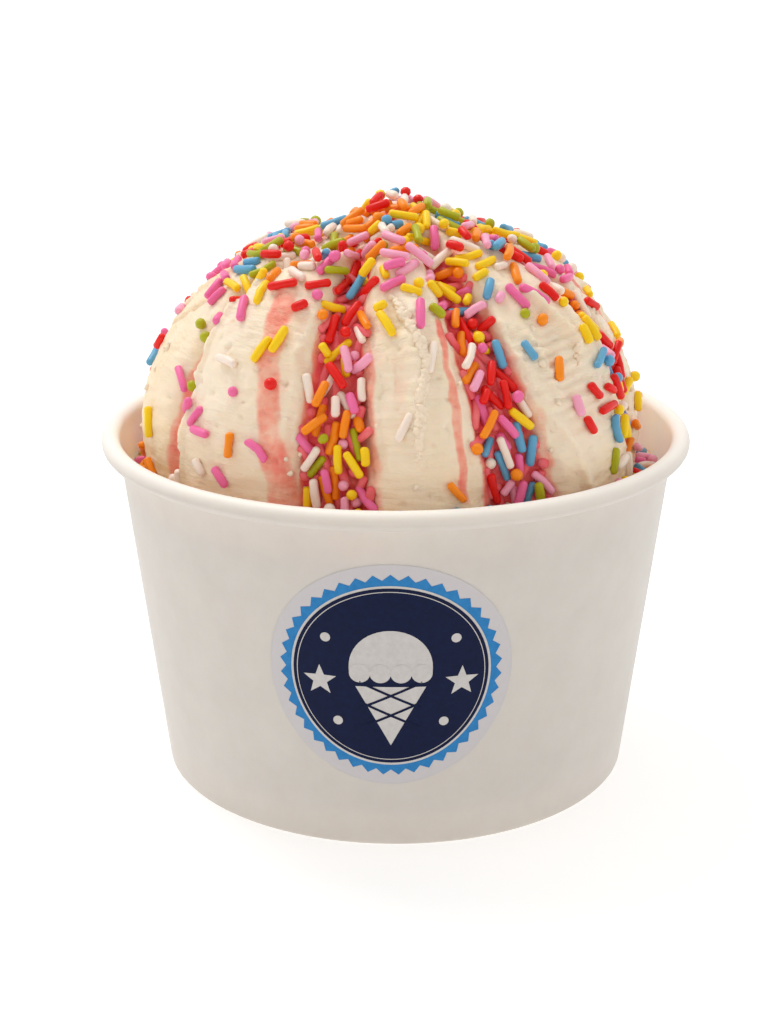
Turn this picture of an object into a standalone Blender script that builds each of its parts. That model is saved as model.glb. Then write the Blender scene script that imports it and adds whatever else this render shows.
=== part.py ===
"""Paper cup heaped with ice cream and sprinkles, one pint size, standing on its foot ring.

The origin is the centre of the foot ring on the table, +Z is up and -Y is the side
with the round label. Driving sizes are in millimetres; meshes are built in metres.
"""
import math
from collections import namedtuple

import bmesh
import bpy
import numpy as np
from mathutils import Matrix, Vector

MM = 0.001
CUP_STEPS = 72
FIT_GAP = 0.3

# Cup
CUP_HEIGHT = 68.5
RIM_RADIUS = 57.5
ROLL_RADIUS = 1.8
WALL_FOOT_RADIUS = 46.4
WALL_TOP_RADIUS = 54.6
WALL_THICKNESS = 0.55
FOLD_THICKNESS = 1.3
FOLD_HEIGHT = 7.0
BOTTOM_THICKNESS = 0.5
ROLL_ARC_POINTS = 11

# Round label on the front of the wall
LABEL_RADIUS = 22.3
LABEL_HEIGHT = 35.7
LABEL_TURN = -1.1
LABEL_THICKNESS = 0.15
LABEL_RINGS = (0.32, 0.62, 0.84)
LABEL_STEPS = 40

# Mound of ice cream: a dome pressed into petals, angles in degrees from its top
MOUND_CENTRE = 66.0
MOUND_RADIUS = 49.6
MOUND_RISE = 45.9
VALLEY_DEPTH = 4.6
FOOT_POLAR = 96.0
LEDGE_SPAN = 14.0
LEDGE_HEIGHT = 59.2
LEAN_POLAR = 65.0
CURL_POLAR = 50.0
CROWN_START, CROWN_FADE = 9.0, 26.0
PEAK_POLAR = 14.0
DROP_START, DROP_FADE = 19.0, 26.0
DROP_MEAN, DROP_SWING = 3.5, 2.7
LOW_SIDE = -160.0
MOUND_STEPS = 60
MOUND_RINGS = 20

# Sprinkles
SEED = 31
CANDIDATES = 5200
FUSED_SPRINKLES = 165
FUSED_SPACING = 1.1
BALL_SHARE = 0.2
ROD_LENGTHS = (2.8, 5.0, 6.4)
ROD_RADII = (0.76, 0.88)
BALL_RADII = (0.94, 1.12)
SUNK_SHARE = 0.4
ROD_SIDES = 6
LEDGE_SHARE = 0.12
BARE_DENSITY = 0.05
SHOULDER_DENSITY = 0.28
LEDGE_DENSITY = 0.55
DOWNHILL_SPREAD = 0.55

Petal = namedtuple("Petal", "left right lean soft_left soft_right crest arch curl")
PETALS = (
    Petal(-104, -52, 0.00, 7, 4, 4.2, 1.9, 0.000),
    Petal(-56, -19.5, 0.00, 2, 6, 4.8, 1.2, 0.065),
    Petal(-11, 20, 0.10, 7, 6, 4.3, 1.2, 0.000),
    Petal(29, 67, 0.12, 6, 8, 4.4, 0.9, 0.000),
    Petal(71, 116, 0.00, 5, 8, 2.9, 0.8, 0.000),
    Petal(124, 163, -0.05, 6, 3, 4.4, 1.2, 0.000),
    Petal(160, 207, 0.00, 8, 7, 3.9, 1.2, 0.000),
    Petal(215, 254, 0.06, 5, 6, 4.5, 1.2, 0.000),
)


def clear_scene():
    for old in list(bpy.data.objects):
        bpy.data.objects.remove(old, do_unlink=True)


def material(name, colour, roughness):
    """Plain surface of one colour, given as linear red, green and blue."""
    made = bpy.data.materials.new(name)
    made.use_nodes = True
    shader = made.node_tree.nodes["Principled BSDF"]
    shader.inputs["Base Color"].default_value = (*colour, 1.0)
    shader.inputs["Roughness"].default_value = roughness
    shader.inputs["Metallic"].default_value = 0.0
    made.diffuse_color = (*colour, 1.0)
    return made


def finish(mesh, name, slot, smooth=True):
    """Turns a bmesh into a named object with its faces outward."""
    bmesh.ops.recalc_face_normals(mesh, faces=mesh.faces)
    data = bpy.data.meshes.new(name)
    mesh.to_mesh(data)
    mesh.free()
    for face in data.polygons:
        face.use_smooth = smooth
    data.materials.append(slot)
    thing = bpy.data.objects.new(name, data)
    bpy.context.scene.collection.objects.link(thing)
    return thing


def turned(profile, steps, ring=False):
    """Spins an outline of (radius, height) points round the Z axis into a closed body."""
    mesh = bmesh.new()
    points = [mesh.verts.new((r * MM, 0.0, z * MM)) for r, z in profile]
    lines = [mesh.edges.new(pair) for pair in zip(points, points[1:])]
    if ring:
        lines.append(mesh.edges.new((points[-1], points[0])))
    bmesh.ops.spin(
        mesh, geom=points + lines, cent=(0, 0, 0), axis=(0, 0, 1),
        angle=2 * math.pi, steps=steps, use_merge=True,
    )
    bmesh.ops.remove_doubles(mesh, verts=mesh.verts, dist=1e-6)
    return mesh


# Paper cup
def wall_radius(height):
    """Outer radius of the tapered wall at a height."""
    return WALL_FOOT_RADIUS + (WALL_TOP_RADIUS - WALL_FOOT_RADIUS) * height / CUP_HEIGHT


def inner_radius(height):
    return wall_radius(height) - WALL_THICKNESS


def cup_wall(paper):
    """Tapered wall with a rolled rim above and a folded foot ring below."""
    roll_centre = RIM_RADIUS - ROLL_RADIUS
    roll_height = CUP_HEIGHT - ROLL_RADIUS
    profile = [
        (WALL_FOOT_RADIUS - FOLD_THICKNESS, 0.0),
        (wall_radius(FOLD_HEIGHT) - FOLD_THICKNESS, FOLD_HEIGHT),
        (inner_radius(FOLD_HEIGHT), FOLD_HEIGHT),
    ]
    start, end = math.radians(172), math.radians(-128)
    for step in range(ROLL_ARC_POINTS):
        angle = start + (end - start) * step / (ROLL_ARC_POINTS - 1)
        profile.append((
            roll_centre + ROLL_RADIUS * math.cos(angle),
            roll_height + ROLL_RADIUS * math.sin(angle),
        ))
    under_roll = roll_height - ROLL_RADIUS * 0.95
    profile.append((wall_radius(under_roll), under_roll))
    profile.append((WALL_FOOT_RADIUS, 0.0))
    return finish(turned(profile, CUP_STEPS, ring=True), "cup_wall", paper)


def cup_bottom(paper):
    """Flat disc just above the fold of the foot ring."""
    low = FOLD_HEIGHT + FIT_GAP
    high = low + BOTTOM_THICKNESS
    edge = inner_radius(low) - FIT_GAP
    profile = [(0.0, high), (edge, high), (edge, low), (0.0, low)]
    return finish(turned(profile, CUP_STEPS), "cup_bottom", paper)


def on_wall(across, up, lift):
    """Point on the cup's outside: arc length across, height up, lift off the wall."""
    radius = wall_radius(up) + lift
    angle = math.radians(LABEL_TURN) + across / wall_radius(LABEL_HEIGHT)
    return Vector((radius * math.sin(angle), -radius * math.cos(angle), up)) * MM


def label(print_stock):
    """Round sticker bent to the wall."""
    mesh = bmesh.new()
    shares = LABEL_RINGS + (1.0,)
    bmesh.ops.create_circle(mesh, cap_ends=True, cap_tris=True, segments=LABEL_STEPS, radius=shares[0])
    for share in shares[1:]:
        rim = [edge for edge in mesh.edges if edge.is_boundary]
        grown = bmesh.ops.extrude_edge_only(mesh, edges=rim)["geom"]
        for vert in [part for part in grown if isinstance(part, bmesh.types.BMVert)]:
            vert.co *= share / vert.co.length
    for vert in mesh.verts:
        across, up = vert.co.x * LABEL_RADIUS, LABEL_HEIGHT + vert.co.y * LABEL_RADIUS
        vert.co = on_wall(across, up, FIT_GAP)
    bmesh.ops.recalc_face_normals(mesh, faces=mesh.faces)
    bmesh.ops.solidify(mesh, geom=list(mesh.faces), thickness=-LABEL_THICKNESS * MM)
    return finish(mesh, "label", print_stock)


# Ice cream
def smooth_step(share):
    share = np.clip(share, 0.0, 1.0)
    return share * share * (3.0 - 2.0 * share)


def petal_relief(polar, azimuth):
    """Height of the petals above the valley floor between them."""
    height = np.zeros(np.broadcast(polar, azimuth).shape)
    for petal in PETALS:
        lean = petal.lean * (polar - LEAN_POLAR)
        curl = petal.curl * np.maximum(CURL_POLAR - polar, 0.0) ** 2
        left, right = petal.left + lean + curl, petal.right + lean
        middle = (petal.left + petal.right) / 2
        around = (azimuth - middle + 180.0) % 360.0 - 180.0 + middle
        rise = smooth_step((around - left) / petal.soft_left)
        fall = smooth_step((right - around) / petal.soft_right)
        along = np.clip((around - left) / np.maximum(right - left, 4.0), 0.0, 1.0)
        crest = petal.crest - petal.arch * (2.0 * along - 1.0) ** 2
        height = np.maximum(height, rise * fall * crest)
    return height


def mound_radius(polar, azimuth):
    """Distance of the surface from the mound's centre in a given direction."""
    down, around = np.radians(polar), np.radians(azimuth)
    plain = 1.0 / np.hypot(np.sin(down) / MOUND_RADIUS, np.cos(down) / MOUND_RISE)
    out_of_crown = smooth_step((polar - CROWN_START) / CROWN_FADE)
    petals = (petal_relief(polar, azimuth) - VALLEY_DEPTH) * out_of_crown
    uneven = 0.7 * np.sin(3 * around + 0.06 * polar + 1.0) * np.sin(down)
    uneven = uneven + 0.5 * np.sin(7 * around - 0.11 * polar) * np.sin(down) ** 2
    drop = DROP_MEAN + DROP_SWING * np.cos(around - math.radians(LOW_SIDE))
    drop = drop * smooth_step(polar / PEAK_POLAR) * (1.0 - smooth_step((polar - DROP_START) / DROP_FADE))
    return plain + petals + uneven - drop


def cream_point(down, azimuth):
    """Surface point: down to FOOT_POLAR on the mound, past it on the ledge inside the cup."""
    polar = np.minimum(down, FOOT_POLAR)
    reach = mound_radius(polar, azimuth)
    polar, turn = np.radians(polar), np.radians(azimuth)
    radius = reach * np.sin(polar)
    height = MOUND_CENTRE + reach * np.cos(polar)
    out = np.clip((down - FOOT_POLAR) / LEDGE_SPAN, 0.0, 1.0)
    radius = radius + out * (inner_radius(LEDGE_HEIGHT) - FIT_GAP - radius)
    height = height + (1.0 - (1.0 - out) ** 2) * (LEDGE_HEIGHT - height)
    return np.stack([radius * np.sin(turn), -radius * np.cos(turn), height], axis=-1)


def ice_cream_body(cream):
    """Ice cream filling the cup to the ledge and heaped above it.

    It is turned as a flat disc whose radius counts degrees down the surface, and
    then each ring is set to its place, first the mound, then the sides in the cup.
    """
    downs = [FOOT_POLAR * ring / MOUND_RINGS for ring in range(MOUND_RINGS + 1)]
    downs += [FOOT_POLAR + LEDGE_SPAN * 0.4, FOOT_POLAR + LEDGE_SPAN]
    side, middle = downs[-1] + 10.0, downs[-1] + 20.0
    floor = FOLD_HEIGHT + BOTTOM_THICKNESS + 2 * FIT_GAP
    edge = inner_radius(floor) - FIT_GAP
    mesh = turned([(down, 0.0) for down in downs + [side, middle]], MOUND_STEPS)
    for vert in mesh.verts:
        down = vert.co.xy.length / MM
        azimuth = math.atan2(vert.co.x, -vert.co.y)
        if down < side - 1.0:
            vert.co = Vector(cream_point(down, math.degrees(azimuth))) * MM
        else:
            reach = edge if down < middle - 1.0 else 0.0
            vert.co = Vector((reach * math.sin(azimuth), -reach * math.cos(azimuth), floor)) * MM
    bmesh.ops.remove_doubles(mesh, verts=mesh.verts, dist=1e-6)
    return finish(mesh, "ice_cream", cream)


# Sprinkles
def valley_share(down, azimuth):
    """1 on the floor of a valley between petals, 0 on the petals."""
    return 1.0 - smooth_step((petal_relief(np.minimum(down, FOOT_POLAR), azimuth) - 0.4) / 1.8)


def sprinkle_density(down, azimuth):
    """Share of sprinkles kept at a place: crown and valleys full, petals nearly bare."""
    crown = 1.0 - smooth_step((down - 27.0) / 17.0)
    petals = BARE_DENSITY + SHOULDER_DENSITY * (1.0 - smooth_step((down - 34.0) / 22.0))
    ledge = LEDGE_DENSITY * (down > FOOT_POLAR)
    return np.maximum.reduce([crown, valley_share(down, azimuth) * (down > 12.0), petals, ledge])


def unit(vectors):
    return vectors / np.linalg.norm(vectors, axis=-1, keepdims=True)


def sprinkle_candidates(random):
    """Places, directions and sizes of sprinkles, the longest first."""
    fall = np.degrees(np.arccos(random.uniform(math.cos(math.radians(FOOT_POLAR)), 0.9995, CANDIDATES)))
    on_ledge = random.random(CANDIDATES) < LEDGE_SHARE
    down = np.where(on_ledge, FOOT_POLAR + LEDGE_SPAN * random.uniform(0.1, 0.8, CANDIDATES), fall)
    azimuth = random.uniform(-180.0, 180.0, CANDIDATES)
    kept = random.random(CANDIDATES) < sprinkle_density(down, azimuth)
    down, azimuth = down[kept], azimuth[kept]
    count = len(down)
    ball = random.random(count) < BALL_SHARE
    length = np.where(ball, 0.0, random.triangular(*ROD_LENGTHS, count))
    radius = np.where(ball, random.uniform(*BALL_RADII, count), random.uniform(*ROD_RADII, count))
    free = random.uniform(-math.pi / 2, math.pi / 2, count)
    slid = valley_share(down, azimuth) * (down > CURL_POLAR)
    heading = free * (1.0 - slid * (1.0 - DOWNHILL_SPREAD))

    step_down = cream_point(down + 0.5, azimuth) - cream_point(down - 0.5, azimuth)
    step_round = cream_point(down, azimuth + 0.5) - cream_point(down, azimuth - 0.5)
    half = np.maximum(length / 2 - radius, 0.05)
    move_down = np.cos(heading) * half / np.linalg.norm(step_down, axis=-1)
    move_round = np.clip(np.sin(heading) * half / np.linalg.norm(step_round, axis=-1), -50.0, 50.0)
    first = cream_point(np.maximum(down + move_down, 0.5), azimuth + move_round)
    last = cream_point(np.maximum(down - move_down, 0.5), azimuth - move_round)
    normal = unit(np.cross(step_down, step_round))
    middle = (first + last + cream_point(down, azimuth)) / 3
    centre = middle + normal * (radius * (1.0 - SUNK_SHARE))[:, None]
    order = np.argsort(-(length + 4.0 * ball * random.random(count)), kind="stable")
    return centre[order], unit(first - last)[order], half[order], radius[order], ball[order]


def inside_cup(points, radius):
    """True where a sprinkle stays clear of the cup's wall."""
    reach = np.hypot(points[:, 0], points[:, 1]) + radius
    low = points[:, 2] < CUP_HEIGHT + 2.0
    return bool(np.all(~low | (reach < inner_radius(points[:, 2]) - 2 * FIT_GAP)))


def scattered(random, count, spacing):
    """Picks sprinkles in order, each one clear of those before it."""
    centre, axis, half, radius, ball = sprinkle_candidates(random)
    taken, beads, sizes = [], np.zeros((0, 3)), np.zeros(0)
    spans = np.linspace(-1.0, 1.0, 5)
    for index in range(len(centre)):
        row = centre[index] + axis[index] * (spans * half[index])[:, None]
        if not inside_cup(row, radius[index]):
            continue
        if len(beads):
            gaps = np.linalg.norm(beads[:, None] - row[None], axis=-1) - sizes[:, None]
            if gaps.min() < radius[index] + spacing:
                continue
        taken.append(index)
        beads = np.concatenate([beads, row])
        sizes = np.concatenate([sizes, np.full(len(row), radius[index])])
        if len(taken) == count:
            break
    return [(centre[i], axis[i], half[i], radius[i], bool(ball[i])) for i in taken]


def sprinkle(collection, centre, axis, half, radius, ball):
    """One sprinkle, a rod with blunt tips or a ball, placed in its collection."""
    if ball:
        mesh = bmesh.new()
        bmesh.ops.create_icosphere(mesh, subdivisions=1, radius=radius * MM)
    else:
        tip = half + radius
        neck = half + 0.35 * radius
        mesh = turned([(0.0, tip), (radius, neck), (radius, -neck), (0.0, -tip)], ROD_SIDES)
    turn = Vector(axis).to_track_quat("Z", "Y").to_matrix().to_4x4()
    bmesh.ops.transform(mesh, matrix=Matrix.Translation(Vector(centre) * MM) @ turn, verts=mesh.verts)
    bmesh.ops.recalc_face_normals(mesh, faces=mesh.faces)
    data = bpy.data.meshes.new("sprinkle")
    mesh.to_mesh(data)
    mesh.free()
    collection.objects.link(bpy.data.objects.new("sprinkle", data))


def drop_loose(body):
    """Keeps the one large shell of the body and removes any scrap beside it."""
    mesh = bmesh.new()
    mesh.from_mesh(body.data)
    waiting, shells = set(mesh.faces), []
    while waiting:
        front = [waiting.pop()]
        shell = list(front)
        while front:
            face = front.pop()
            beside = {near for edge in face.edges for near in edge.link_faces} & waiting
            waiting -= beside
            front += beside
            shell += beside
        shells.append(shell)
    for shell in sorted(shells, key=len)[:-1]:
        bmesh.ops.delete(mesh, geom=shell, context="FACES")
    mesh.to_mesh(body.data)
    mesh.free()


def fuse_sprinkles(body):
    """Joins the sprinkles to the ice cream they lie on."""
    collection = bpy.data.collections.new("sprinkles")
    bpy.context.scene.collection.children.link(collection)
    for placed in scattered(np.random.default_rng(SEED), FUSED_SPRINKLES, FUSED_SPACING):
        sprinkle(collection, *placed)
    union = body.modifiers.new("sprinkles", "BOOLEAN")
    union.operation = "UNION"
    union.operand_type = "COLLECTION"
    union.collection = collection
    union.solver = "EXACT"
    bpy.context.view_layer.objects.active = body
    bpy.ops.object.modifier_apply(modifier=union.name)
    for thing in list(collection.objects):
        bpy.data.objects.remove(thing, do_unlink=True)
    bpy.data.collections.remove(collection)
    drop_loose(body)


clear_scene()
paper = material("cup_paper", (0.82, 0.79, 0.74), 0.55)
print_stock = material("label_print", (0.05, 0.16, 0.35), 0.5)
cream = material("vanilla_cream", (0.88, 0.78, 0.58), 0.45)
cup_wall(paper)
cup_bottom(paper)
label(print_stock)
fuse_sprinkles(ice_cream_body(cream))
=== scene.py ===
# %% [markdown]
# # A pint cup of ice cream with sprinkles
# A squat white paper cup with a rolled rim and a round label holds a heaped mound of vanilla
# ice cream. The mound was scooped into petals, strawberry sauce runs down between them, and
# sugar sprinkles cover the crown and fill the valleys. Every size below is in millimetres,
# and the meshes are built in metres.

import math
from collections import namedtuple

import bmesh
import bpy
import numpy as np
from mathutils import Matrix, Vector, noise
from mathutils.kdtree import KDTree


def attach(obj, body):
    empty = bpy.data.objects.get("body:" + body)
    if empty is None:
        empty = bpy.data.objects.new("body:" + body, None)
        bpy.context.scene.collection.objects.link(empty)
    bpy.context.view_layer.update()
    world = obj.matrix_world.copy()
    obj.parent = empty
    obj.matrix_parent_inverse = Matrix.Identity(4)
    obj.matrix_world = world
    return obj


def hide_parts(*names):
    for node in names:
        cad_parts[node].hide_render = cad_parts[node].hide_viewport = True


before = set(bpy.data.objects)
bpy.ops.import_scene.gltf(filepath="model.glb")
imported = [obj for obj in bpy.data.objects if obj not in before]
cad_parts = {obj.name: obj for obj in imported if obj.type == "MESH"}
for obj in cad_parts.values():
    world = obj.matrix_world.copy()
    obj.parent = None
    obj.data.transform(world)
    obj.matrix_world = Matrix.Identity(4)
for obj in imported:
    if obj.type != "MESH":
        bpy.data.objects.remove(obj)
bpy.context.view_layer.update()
MM = 0.001
print("frame nodes", sorted(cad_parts))

# %% [markdown]
# ## Small helpers
# Colours are written as the hex values seen on a screen and turned to linear light by one
# function. A node helper adds a shader node with its settings and links in one line, another
# sets the shader's own constants, and a piece helper turns a bmesh into a finished object that
# rides on the frame.

# %% Colour, node and piece helpers
def linear(hex_colour):
    """A screen colour such as F2E6D0 as linear red, green, blue and alpha."""
    parts = [int(hex_colour[i:i + 2], 16) / 255 for i in (0, 2, 4)]
    return [p / 12.92 if p <= 0.04045 else ((p + 0.055) / 1.055) ** 2.4 for p in parts] + [1.0]


def add(tree, kind, settings=None, **links):
    """Adds a node; links name an input and give an output socket or a constant."""
    made = tree.nodes.new(kind)
    for key, value in (settings or {}).items():
        setattr(made, key, value)
    for key, value in links.items():
        socket = made.inputs[int(key[1:])] if key[0] == "i" and key[1:].isdigit() \
            else made.inputs[key.replace("_", " ")]
        if isinstance(value, bpy.types.NodeSocket):
            tree.links.new(value, socket)
        else:
            socket.default_value = value
    return made


def dial(shader, **values):
    """Sets constants on the shader's own sockets."""
    for key, value in values.items():
        shader.inputs[key.replace("_", " ")].default_value = value


def new_finish(name):
    """An empty material with its shader and the object's own coordinates."""
    made = bpy.data.materials.new(name)
    made.use_nodes = True
    tree = made.node_tree
    shader = tree.nodes["Principled BSDF"]
    place = tree.nodes.new("ShaderNodeTexCoord").outputs["Object"]
    return made, tree, shader, place


def piece(mesh, name, finish, replaced=None, smooth=True):
    """A finished piece of the object, from a bmesh."""
    bmesh.ops.recalc_face_normals(mesh, faces=mesh.faces)
    data = bpy.data.meshes.new(name)
    mesh.to_mesh(data)
    mesh.free()
    return piece_of(data, name, finish, replaced, smooth)


def piece_of(data, name, finish, replaced=None, smooth=True):
    """A finished piece of the object, from mesh data."""
    data.polygons.foreach_set("use_smooth", [smooth] * len(data.polygons))
    data.materials.append(finish)
    made = bpy.data.objects.new(name, data)
    bpy.context.scene.collection.objects.link(made)
    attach(made, "root")
    if replaced:
        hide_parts(replaced)
    print(name, len(data.vertices), "points", len(data.polygons), "faces")
    return made


# %% [markdown]
# ## The cup's sizes
# The cup is the squat pint of the paper-cup family with a rim of about 115 mm. The wall
# tapers to a foot ring, the board is about half a millimetre thick, and the rim is curled
# outwards into a tube. These are the same sizes as in the solid model.

# %% Cup sizes
FIT_GAP = 0.3
CUP_HEIGHT = 68.5
RIM_RADIUS = 57.5
ROLL_RADIUS = 1.8
WALL_FOOT_RADIUS = 46.4
WALL_TOP_RADIUS = 54.6
WALL_THICKNESS = 0.55
FOLD_THICKNESS = 1.3
FOLD_HEIGHT = 7.0


def wall_radius(height):
    """Outer radius of the tapered wall at a height."""
    return WALL_FOOT_RADIUS + (WALL_TOP_RADIUS - WALL_FOOT_RADIUS) * height / CUP_HEIGHT


def inner_radius(height):
    return wall_radius(height) - WALL_THICKNESS


def turned(profile, steps, ring=False):
    """Spins an outline of (radius, height) points round the Z axis."""
    mesh = bmesh.new()
    points = [mesh.verts.new((r * MM, 0.0, z * MM)) for r, z in profile]
    lines = [mesh.edges.new(pair) for pair in zip(points, points[1:])]
    if ring:
        lines.append(mesh.edges.new((points[-1], points[0])))
    bmesh.ops.spin(
        mesh, geom=points + lines, cent=(0, 0, 0), axis=(0, 0, 1),
        angle=2 * math.pi, steps=steps, use_merge=True,
    )
    bmesh.ops.remove_doubles(mesh, verts=mesh.verts, dist=1e-6)
    return mesh


MEAN_RADIUS = (inner_radius(FOLD_HEIGHT) + inner_radius(CUP_HEIGHT)) / 2
print("brimful", round(math.pi * MEAN_RADIUS ** 2 * (CUP_HEIGHT - FOLD_HEIGHT) / 1000), "ml")

# %% [markdown]
# ## Paper board
# The cup is bleached board with a thin coating: matt to satin, nearly white and a little
# warm, with a faint cloudiness from the fibres. The board passes some light, so the shader
# scatters a little under the surface, and a fine grain breaks up the highlight on the rim. The
# colour climbs to white towards the top of the curl: painted light where the rim faces the light from above.

# %% Paper board finish
def paper_board(name, light, dark, glow, curl="F7F4EF"):
    finish, tree, shader, place = new_finish(name)
    cloud = add(tree, "ShaderNodeTexNoise", Vector=place, Scale=130.0, Detail=7.0, Roughness=0.68)
    mix = add(tree, "ShaderNodeMix", {"data_type": "RGBA"}, Factor=cloud.outputs["Fac"],
              i6=linear(dark), i7=linear(light))
    parts = add(tree, "ShaderNodeSeparateXYZ", Vector=place)
    # Painted light: the colour climbs to white towards the top of the rolled rim, where light falls from
    # above.
    climb = add(tree, "ShaderNodeMapRange", Value=parts.outputs["Z"],
                From_Min=(CUP_HEIGHT - 1.2 * ROLL_RADIUS) * MM,
                From_Max=(CUP_HEIGHT - 0.1 * ROLL_RADIUS) * MM)
    mix = add(tree, "ShaderNodeMix", {"data_type": "RGBA"}, Factor=climb.outputs[0],
              i6=mix.outputs[2], i7=linear(curl))
    grain = add(tree, "ShaderNodeTexNoise", Vector=place, Scale=1800.0, Detail=2.0)
    bump = add(tree, "ShaderNodeBump", Strength=0.12, Distance=0.08 * MM, Height=grain.outputs["Fac"])
    tree.links.new(mix.outputs[2], shader.inputs["Base Color"])
    tree.links.new(bump.outputs["Normal"], shader.inputs["Normal"])
    dial(shader, Roughness=0.48, Subsurface_Weight=glow,
         Subsurface_Radius=(1.0, 0.82, 0.62), Subsurface_Scale=2.0 * MM)
    return finish


cup_board = paper_board("cup_board", "D9D4CE", "CBC5BE", 0.4)
# The inside is the same board as the outside in a brighter colour: painted light falling into the cup.
cup_inside_lit = paper_board("cup_inside_lit", "FBF6EF", "F5EFE6", 0.5)
seam_board = paper_board("seam_board", "D9D4CE", "CCC6BF", 0.0)

# %% [markdown]
# ## Cup wall and rolled rim
# One outline runs up the inside, round the curled rim and down the outside, and is spun
# round the axis. The inside is the same board in a brighter colour, painted light falling into
# the cup, and it runs over the top of the curl. A real curl is never quite even, so the rim
# rises and falls by a tenth of a millimetre. The board is wrapped, so an overlap seam runs down the back of
# the cup.

# %% Cup wall and rolled rim
CUP_STEPS = 168
ROLL_POINTS = 24
CURL_START, CURL_END = 172, -128
WALL_POINTS = 14
RIM_WAVE = 0.1
RIM_ZONE = 8.5


def cup_outline():
    roll_centre, roll_height = RIM_RADIUS - ROLL_RADIUS, CUP_HEIGHT - ROLL_RADIUS
    outline = [
        (WALL_FOOT_RADIUS - FOLD_THICKNESS, 0.15),
        (wall_radius(FOLD_HEIGHT) - FOLD_THICKNESS, FOLD_HEIGHT),
        (inner_radius(FOLD_HEIGHT), FOLD_HEIGHT + 0.1),
    ]
    climb = np.linspace(FOLD_HEIGHT + 4, roll_height - 2, WALL_POINTS)
    outline += [(inner_radius(z), z) for z in climb]
    for angle in np.radians(np.linspace(CURL_START, CURL_END, ROLL_POINTS)):
        outline.append((roll_centre + ROLL_RADIUS * math.cos(angle),
                        roll_height + ROLL_RADIUS * math.sin(angle)))
    outline += [(wall_radius(z), z) for z in climb[::-1]]
    outline += [(wall_radius(0.35), 0.35), (WALL_FOOT_RADIUS - 0.25, 0.0),
                (WALL_FOOT_RADIUS - FOLD_THICKNESS + 0.2, 0.0)]
    return outline


cup = turned(cup_outline(), CUP_STEPS, ring=True)
for vert in cup.verts:
    rim_share = max(0.0, vert.co.z / MM - (CUP_HEIGHT - RIM_ZONE)) / RIM_ZONE
    turn = math.atan2(vert.co.x, -vert.co.y)
    vert.co.z += RIM_WAVE * MM * rim_share * math.sin(3 * turn + 0.6)
made_cup = piece(cup, "cup", cup_board, "cup_wall")
made_cup.data.materials.append(cup_inside_lit)
# Faces inside the wall and on the inner half of the curl take the brighter board, which is painted light.
for polygon in made_cup.data.polygons:
    middle = polygon.center / MM
    in_curl = middle.z > CUP_HEIGHT - 2 * ROLL_RADIUS
    limit = RIM_RADIUS - ROLL_RADIUS if in_curl else wall_radius(middle.z) - 0.5 * WALL_THICKNESS
    polygon.material_index = int(math.hypot(middle.x, middle.y) < limit)
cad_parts["cup_bottom"].data.materials.clear()
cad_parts["cup_bottom"].data.materials.append(cup_board)

# %% [markdown]
# ## Placing things on the wall
# The label, its print and the seam all lie on the tapered wall. A point is given by its arc
# length across and its height up, and lifted off the wall by the thickness under it.

# %% Wall placement and the overlap seam
LABEL_RADIUS = 22.3
LABEL_HEIGHT = 35.7
LABEL_TURN = -1.1
LABEL_FACE = 0.04
SEAM_TURN = 178.0
SEAM_WIDTH, SEAM_LOW, SEAM_HIGH = 8.0, 0.6, 64.6


def on_wall(across, up, lift, turn=LABEL_TURN):
    radius = wall_radius(up) + lift
    angle = math.radians(turn) + across / wall_radius(LABEL_HEIGHT)
    return Vector((radius * math.sin(angle), -radius * math.cos(angle), up)) * MM


def strip_seam(width, low, high):
    mesh = bmesh.new()
    bmesh.ops.create_grid(mesh, x_segments=6, y_segments=10, size=0.5)
    for vert in mesh.verts:
        across, up = vert.co.x * width, low + (vert.co.y + 0.5) * (high - low)
        vert.co = on_wall(across, up, 0.05 + 0.22 * (vert.co.x + 0.5), turn=SEAM_TURN)
    bmesh.ops.recalc_face_normals(mesh, faces=mesh.faces)
    bmesh.ops.solidify(mesh, geom=list(mesh.faces), thickness=0.12 * MM)
    return mesh


piece(strip_seam(SEAM_WIDTH, SEAM_LOW, SEAM_HIGH), "cup_seam", seam_board)

# %% [markdown]
# ## The sticker
# A round sticker of smooth coated paper: cooler and a touch darker than the cup, satin, with
# ink printed on it. The inks are flat colours with a very slight unevenness, as on any
# digital print, and the ink takes a soft sheen.

# %% Sticker paper and inks
def ink(name, hex_colour, darker, roughness=0.5, sheen=0.12):
    finish, tree, shader, place = new_finish(name)
    uneven = add(tree, "ShaderNodeTexNoise", Vector=place, Scale=900.0, Detail=5.0, Roughness=0.7)
    mix = add(tree, "ShaderNodeMix", {"data_type": "RGBA"}, Factor=uneven.outputs["Fac"],
              i6=linear(darker), i7=linear(hex_colour))
    tree.links.new(mix.outputs[2], shader.inputs["Base Color"])
    dial(shader, Roughness=roughness, Specular_IOR_Level=sheen)
    return finish


sticker_paper = ink("sticker_paper", "CAC8CB", "C2C0C4", sheen=0.3)
sky_ink = ink("sky_ink", "3A8CCB", "1F6CAA")
navy_ink = ink("navy_ink", "101E48", "060D26")
pale_ink = ink("pale_ink", "D6D4D3", "B5B3B3")

# %% [markdown]
# ## The printed design
# A serrated seal with a navy disc is a common ornament. Inside it the label carries a plain
# cone with a scoop between two stars. Each field of colour is a thin film bent to the wall,
# a few hundredths of a millimetre above the one under it.

# %% Seal, rings and navy disc
SEAL_TEETH, TEETH_DEPTH = 43, 1.15
SEAL_RADIUS = 20.4
BORDER_RADIUS = 18.2
DISC_RADIUS = 17.75
LINE_RADIUS = 17.1
CENTRE_RADIUS = 0.5
FILM = 0.035


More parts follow.
